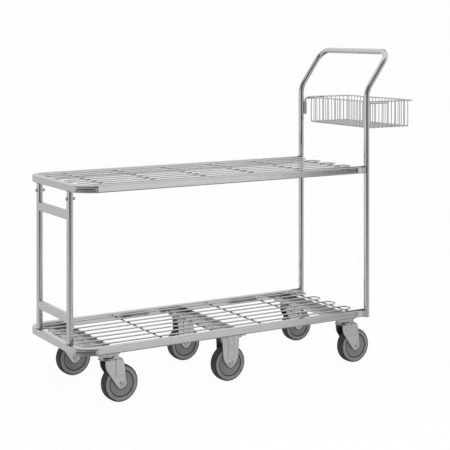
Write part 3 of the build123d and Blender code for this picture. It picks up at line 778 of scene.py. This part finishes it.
def edge_at(edge, z):
    """Where a leg's edge, given as (x, z) points from low to high, stands at height z."""
    for (x0, z0), (x1, z1) in zip(edge, edge[1:]):
        if z <= z1:
            return x0 + (x1 - x0) * max(0.0, (z - z0) / max(1e-9, z1 - z0))
    return edge[-1][0]


def leg_edges(foot, left_points, right_points):
    """Both edges of a leg from low to high; the foot is the arc left, lowest and right point."""
    x, z, radius = circle_through(*foot)
    sides = []
    for target, points in ((foot[0], left_points), (foot[2], right_points)):
        end = math.atan2(target[1] - z, target[0] - x)
        if end > math.pi / 2:
            end -= 2 * math.pi
        start = -math.pi / 2
        arc = [start + (end - start) * k / FOOT_STEPS for k in range(FOOT_STEPS + 1)]
        sides.append([(x + radius * math.cos(t), z + radius * math.sin(t)) for t in arc] + points)
    return sides


def sheet_stations(bottom, top):
    """Places (y, z) and outward directions along the U, from one foot to the other."""
    foot = FOOT_RISES[-1]
    straight = top - BEND_R - bottom
    rises = [*FOOT_RISES]
    rises += [foot + (straight - foot) * k / LEG_STEPS for k in range(1, LEG_STEPS + 1)]
    stations = [(FORK_HALF, bottom + rise, 1.0, 0.0) for rise in rises]
    flat = FORK_HALF - BEND_R
    for step in range(1, ROUND_STEPS + 1):
        angle = math.pi / 2 * step / ROUND_STEPS
        ny, nz = math.cos(angle), math.sin(angle)
        stations.append((flat + BEND_R * ny, top - BEND_R + BEND_R * nz, ny, nz))
    for step in range(1, CROWN_STEPS + 1):
        stations.append((flat - flat * step / CROWN_STEPS, top, 0.0, 1.0))
    return stations + [(-y, z, -ny, nz) for y, z, ny, nz in reversed(stations[:-1])]


def sheet_places(x_low, x_high):
    """Places across the sheet, closer together at its rounded edges."""
    width = x_high - x_low
    last = len(SHEET_RIMS) - 1
    narrowing = [width * RIM_SHARE * (k + 0.01) / last for k in range(last + 1)]
    rim = [min(pair) for pair in zip(SHEET_RIMS, narrowing)]
    inner_width = width - 2 * rim[-1]
    places = [x_low + d for d in rim]
    places += [x_low + rim[-1] + inner_width * k / ACROSS_STEPS for k in range(1, ACROSS_STEPS)]
    return places + [x_high - d for d in reversed(rim)]


def fork_sheet(bm, centre, edges, top, relief):
    """A U of sheet: up one leg, over the crown and down the other leg, its edges rounded over."""
    left, right = edges
    rings = []
    for y, z, ny, nz in sheet_stations(left[0][1], top):
        x_low, x_high = edge_at(left, z), edge_at(right, z)
        outside, inside = [], []
        for x in sheet_places(x_low, x_high):
            depth = min(x - x_low, x_high - x, SHEET_EDGE_R)
            chord = SHEET_EDGE_R ** 2 - (SHEET_EDGE_R - depth) ** 2
            drop = SHEET_EDGE_R - math.sqrt(max(0.0, chord))
            level = (relief(x, z) - MAX_RELIEF) * ny * ny
            for row, offset in ((outside, level - drop), (inside, level - SHEET + drop)):
                place = Vector((x, y + ny * offset, z + nz * offset))
                row.append(bm.verts.new(centre + place))
        rings.append(outside + list(reversed(inside)))
    skin(bm, rings)
    bm.faces.new(rings[0])
    bm.faces.new(rings[-1])


def boss(x, z):
    """Low round boss pressed out round the axle hole."""
    return smoothstep((0.0115 - math.hypot(x, z)) / 0.004)


def swivel_relief(x, z):
    """Rear half of the leg stands proud of the front half, down to the axle."""
    step = smoothstep((x + 0.026) / 0.004) * smoothstep((z - 0.016) / 0.020)
    return MAX_RELIEF * max(RELIEF_SHARE * step, boss(x, z))


def fixed_relief(x, z):
    """A vertical ridge down the middle of the leg."""
    ridge = (1 - smoothstep((abs(x) - 0.010) / 0.004)) * smoothstep((z - 0.014) / 0.012)
    return MAX_RELIEF * max(RELIEF_SHARE * ridge, boss(x, z))


def lathe(bm, centre, profile):
    """Closed ring turned about a vertical axis from (radius, height) points."""
    rings = []
    for k in range(LATHE_STEPS):
        angle = 2 * math.pi * k / LATHE_STEPS
        turn = Vector((math.cos(angle), math.sin(angle), 0))
        places = [centre + turn * radius + Vector((0, 0, z)) for radius, z in profile]
        rings.append([bm.verts.new(place) for place in places])
    skin(bm, rings, closed_along=True)


def swivel_leg(crown):
    """Edges of a swivel fork's leg, with the axle at 0, 0 and the crown at this height."""
    foot = ((-0.015, -0.010), (0.002, -0.014), (0.0135, 0.012))
    front = [(-0.033, 0.015), (-0.055, 0.047), (-0.058, 0.053), (-0.0602, 0.060)]
    front += [(-0.0612, 0.068), (-0.0610, crown)]
    rear = [(0.008, crown - 0.022), (0.004, crown - 0.006), (0.001, crown)]
    return leg_edges(foot, front, rear)


def fixed_leg(top):
    """Edges of a fixed fork's leg, the same to the front and to the rear."""
    rear = [(0.025, 0.009), (0.0305, 0.027), (0.0325, 0.060), (0.0350, top)]
    foot = ((-0.008, -0.011), (0.0, -0.014), (0.008, -0.011))
    return leg_edges(foot, [(-x, z) for x, z in rear], rear)


def crown_disc(radius):
    """Half section of the crown's round sheet, its edge softened."""
    return [
        (PIN_HOLE_R, -SHEET), (PIN_HOLE_R, -0.0001), (radius - 0.0014, -0.0001),
        (radius - 0.0004, -0.0005), (radius, -0.0014), (radius - 0.0003, 0.0005 - SHEET),
        (radius - 0.001, -SHEET),
    ]


def lower_race():
    """Half section of the dished ball race on the crown."""
    return [
        (PIN_HOLE_R, -0.0005), (PIN_HOLE_R, 0.0022), (0.012, 0.0026),
        (RACE_R - 0.004, RACE_HEIGHT), (RACE_R - 0.0015, 0.0038), (RACE_R - 0.0002, 0.0026),
        (RACE_R, 0.0008), (RACE_R, -0.0005),
    ]


def swivel_fork_piece(place):
    """A swivel fork: U of sheet, round crown and lower ball race."""
    node = f"{place}_fork"
    name = f"{place}_fork_sheet"
    low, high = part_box(node)
    axle = wheel_centres[place]
    pin = sum(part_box(f"{place}_kingpin"), Vector()) / 2
    crown = high.z - RACE_HEIGHT - axle.z
    base = Vector((pin.x, pin.y, axle.z + crown))
    bm = bmesh.new()
    fork_sheet(bm, axle, swivel_leg(crown), crown, swivel_relief)
    lathe(bm, base, crown_disc(pin.x - low.x - 0.0001))
    lathe(bm, base, lower_race())
    mesh_data = mesh_from(name, bm)
    piece = add_piece(name, mesh_data, "fork_zinc", body=f"{place}_swivel")
    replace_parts(piece, node)


def fixed_fork_piece():
    """Both fixed forks: legs as a U of sheet under a rounded mounting plate."""
    name = "middle_fork_sheets"
    low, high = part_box("middle_forks")
    bm = bmesh.new()
    for place in ("middle_left", "middle_right"):
        axle = wheel_centres[place]
        top = high.z - axle.z - PLATE_SHEET + 0.0004
        fork_sheet(bm, axle, fixed_leg(top), top, fixed_relief)
        mounting_plate(bm, Vector((axle.x, axle.y, high.z)), (high.x - low.x) / 2)
    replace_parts(add_piece(name, mesh_from(name, bm), "fork_zinc"), "middle_forks")


def mounting_plate(bm, top_centre, half_x):
    """Flat plate with round corners and softened edges."""
    upper = [(PLATE_EDGE, 0.0), (PLATE_EDGE / 4, -PLATE_EDGE / 4), (0.0, -PLATE_EDGE)]
    lower = [(inset, -PLATE_SHEET - drop) for inset, drop in reversed(upper)]
    rings = []
    for inset, drop in upper + lower:
        radius = PLATE_CORNER_R - inset
        ring = []
        for quarter, (sx, sy) in enumerate(CORNERS):
            for step in range(ROUND_STEPS + 1):
                angle = math.pi / 2 * (quarter + step / ROUND_STEPS)
                x = sx * (half_x - PLATE_CORNER_R) + radius * math.cos(angle)
                y = sy * (PLATE_HALF_Y - PLATE_CORNER_R) + radius * math.sin(angle)
                ring.append(bm.verts.new(top_centre + Vector((x, y, drop))))
        rings.append(ring)
    skin(bm, rings)
    bm.faces.new(rings[0])
    bm.faces.new(rings[-1])


for deck in ("lower", "upper"):
    build_rail(deck)
    deck_welds(deck)
tube_welds()
for place in SWIVEL_PLACES:
    swivel_fork_piece(place)
fixed_fork_piece()

# ---- studio ---------------------------------------------------------------------------------
CAMERA_PLACE = Vector((-2.3723, -3.9277, 1.2370))
CAMERA_TURN = math.radians(30.99)      # from +Y towards +X
CAMERA_LENS = 100.18
CAMERA_SHIFT = -0.4375
SENSOR = 36.0
CLIP = (0.05, 100.0)
BACK = (-math.sin(CAMERA_TURN), -math.cos(CAMERA_TURN), 0.0)
RIGHT = (math.cos(CAMERA_TURN), -math.sin(CAMERA_TURN), 0.0)

WHITE = grey(0.985, (1.0, 1.0, 0.995))
ZENITH = grey(0.92)
# What the metal mirrors: (degrees from the direction behind the camera to its right, brightness).
LOW_WALL = (
    (-180, 0.88), (-170, 0.72), (-60, 0.78), (-32, 0.86), (-16, 0.20), (0, 0.10), (44, 0.10),
    (51, 0.98), (65.2, 1.0), (66.6, 0.14), (80, 0.10), (90, 0.80), (130, 0.95), (158, 0.80),
    (162, 0.12), (174.3, 0.10), (176, 0.85), (180, 0.92),
)
HIGH_WALL = (
    (-180, 0.92), (-100, 0.85), (-70, 0.35), (-40, 0.16), (44, 0.14), (58, 0.75), (90, 0.85),
    (158, 0.80), (162, 0.12), (174.3, 0.10), (176, 0.85), (180, 0.92),
)
# The same below the walls: (degrees above the horizon, brightness).
FLOOR_BELOW = ((-90, 0.08), (-60, 0.14), (-40, 0.50), (-22, 0.70), (-10, 0.78))
LAMPS = (                              # name, place, diameter, watts
    ("key_light", (-1.6, -2.6, 3.4), 2.2, 55.0),
    ("fill_light", (2.6, -1.8, 2.6), 2.0, 22.0),
    ("top_light", (0.0, 0.6, 3.6), 2.4, 30.0),
)
LAMP_TARGET = Vector((0.0, 0.0, 0.4))
FLOOR_RADIUS = 40.0
FLOOR_DROP = 0.0005


def studio_world():
    """White studio for the eye; what the metal mirrors has a few dark openings between soft walls."""
    s = Shader("studio", world=True)
    direction = s.node("ShaderNodeTexCoord").outputs["Generated"]
    to_back = s.vector_maths("DOT_PRODUCT", direction, BACK, output="Value")
    to_right = s.vector_maths("DOT_PRODUCT", direction, RIGHT, output="Value")
    height = s.node("ShaderNodeSeparateXYZ", {"Vector": direction}).outputs["Z"]
    azimuth = s.maths("ARCTAN2", to_right, to_back)
    turn = s.maths("ADD", s.maths("DIVIDE", azimuth, 2 * math.pi), 0.5)
    elevation = s.maths("ADD", s.maths("DIVIDE", s.maths("ARCSINE", height), math.pi), 0.5)

    def turned(degrees):
        return degrees / 360.0 + 0.5

    def raised(degrees):
        return degrees / 180.0 + 0.5

    low_wall = s.ramp(turn, [(turned(degrees), level) for degrees, level in LOW_WALL])
    high_wall = s.ramp(turn, [(turned(degrees), level) for degrees, level in HIGH_WALL])
    wall = s.between(elevation, raised(6), raised(16), low_wall, high_wall)
    wall_share = s.ramp(elevation, [(raised(-17), 0.0), (raised(-8), 1.0)])
    floor_level = s.ramp(elevation, [(raised(degrees), level) for degrees, level in FLOOR_BELOW])
    zenith_share = s.ramp(elevation, [(raised(42), 0.0), (raised(62), 1.0)])
    mirrored = s.mix(zenith_share, s.mix(wall_share, floor_level, wall), ZENITH)
    soft = s.between(height, -0.2, 0.6, grey(0.72), grey(0.86))
    light_path = s.node("ShaderNodeLightPath")
    seen = s.mix(light_path.outputs["Is Glossy Ray"], soft, mirrored)
    seen = s.mix(light_path.outputs["Is Camera Ray"], seen, WHITE)
    background = s.node("ShaderNodeBackground", {"Color": seen, "Strength": 1.0})
    return s.surface(background.outputs["Background"])


def pale_floor():
    """Nearly shadowless floor, as white as the background."""
    s = Shader("pale_floor")
    place = s.place()
    distance = s.vector_maths("LENGTH", place, output="Value")
    grain = s.noise(place, scale=3.0)
    warm_white = (1.0, 1.0, 0.995)
    paint = s.node(
        "ShaderNodeBsdfPrincipled",
        {
            "Base Color": s.mix(grain, grey(0.93, warm_white), grey(0.955, warm_white)),
            "Roughness": 0.9,
            "Specular IOR Level": 0.1,
        },
    )
    glow = s.node("ShaderNodeEmission", {"Color": WHITE, "Strength": 1.0})
    blend = s.node("ShaderNodeMixShader", {"Fac": s.spread(distance, 1.2, 4.0, 0.97, 1.0)})
    s.feed(blend.inputs[1], paint.outputs["BSDF"])
    s.feed(blend.inputs[2], glow.outputs["Emission"])
    return s.surface(blend.outputs["Shader"])


def build_floor():
    """A wide disc just under the wheels that belongs to the studio, not to the object."""
    bm = bmesh.new()
    bmesh.ops.create_circle(bm, cap_ends=True, segments=96, radius=FLOOR_RADIUS)
    floor = bpy.data.objects.new("floor", mesh_from("floor", bm))
    floor.data.materials.append(pale_floor())
    floor.location.z = -FLOOR_DROP
    floor.visible_glossy = False
    bpy.context.scene.collection.objects.link(floor)


def build_lamps():
    """Large soft lamps from the front, the right and above."""
    for name, place, size, power in LAMPS:
        data = bpy.data.lights.new(name, "AREA")
        data.shape = "DISK"
        data.size = size
        data.energy = power
        lamp = bpy.data.objects.new(name, data)
        lamp.location = place
        lamp.rotation_euler = (LAMP_TARGET - Vector(place)).to_track_quat("-Z", "Y").to_euler()
        lamp.visible_glossy = False
        bpy.context.scene.collection.objects.link(lamp)


def build_camera():
    """Level camera with a lens shift, which a driver takes away when the turn is a quaternion."""
    data = bpy.data.cameras.new("view_camera")
    data.sensor_width = SENSOR
    data.lens = CAMERA_LENS
    data.clip_start, data.clip_end = CLIP
    camera = bpy.data.objects.new("view_camera", data)
    camera.location = CAMERA_PLACE
    camera.rotation_mode = "XYZ"
    camera.rotation_euler = (math.pi / 2, 0.0, -CAMERA_TURN)
    bpy.context.scene.collection.objects.link(camera)
    bpy.context.scene.camera = camera
    curve = data.driver_add("shift_y")
    curve.driver.type = "SUM"
    variable = curve.driver.variables.new()
    variable.name = "mode"
    variable.type = "SINGLE_PROP"
    variable.targets[0].id = camera
    variable.targets[0].data_path = "rotation_mode"
    line = curve.modifiers[0] if len(curve.modifiers) else curve.modifiers.new("GENERATOR")
    line.mode = "POLYNOMIAL"
    line.poly_order = 1
    line.coefficients = (0.0, CAMERA_SHIFT)


bpy.context.scene.world = studio_world()
build_floor()
build_lamps()
build_camera()
settings = bpy.context.scene.view_settings
settings.view_transform = "Standard"
settings.look = "None"
settings.exposure = 0.0
settings.gamma = 1.0
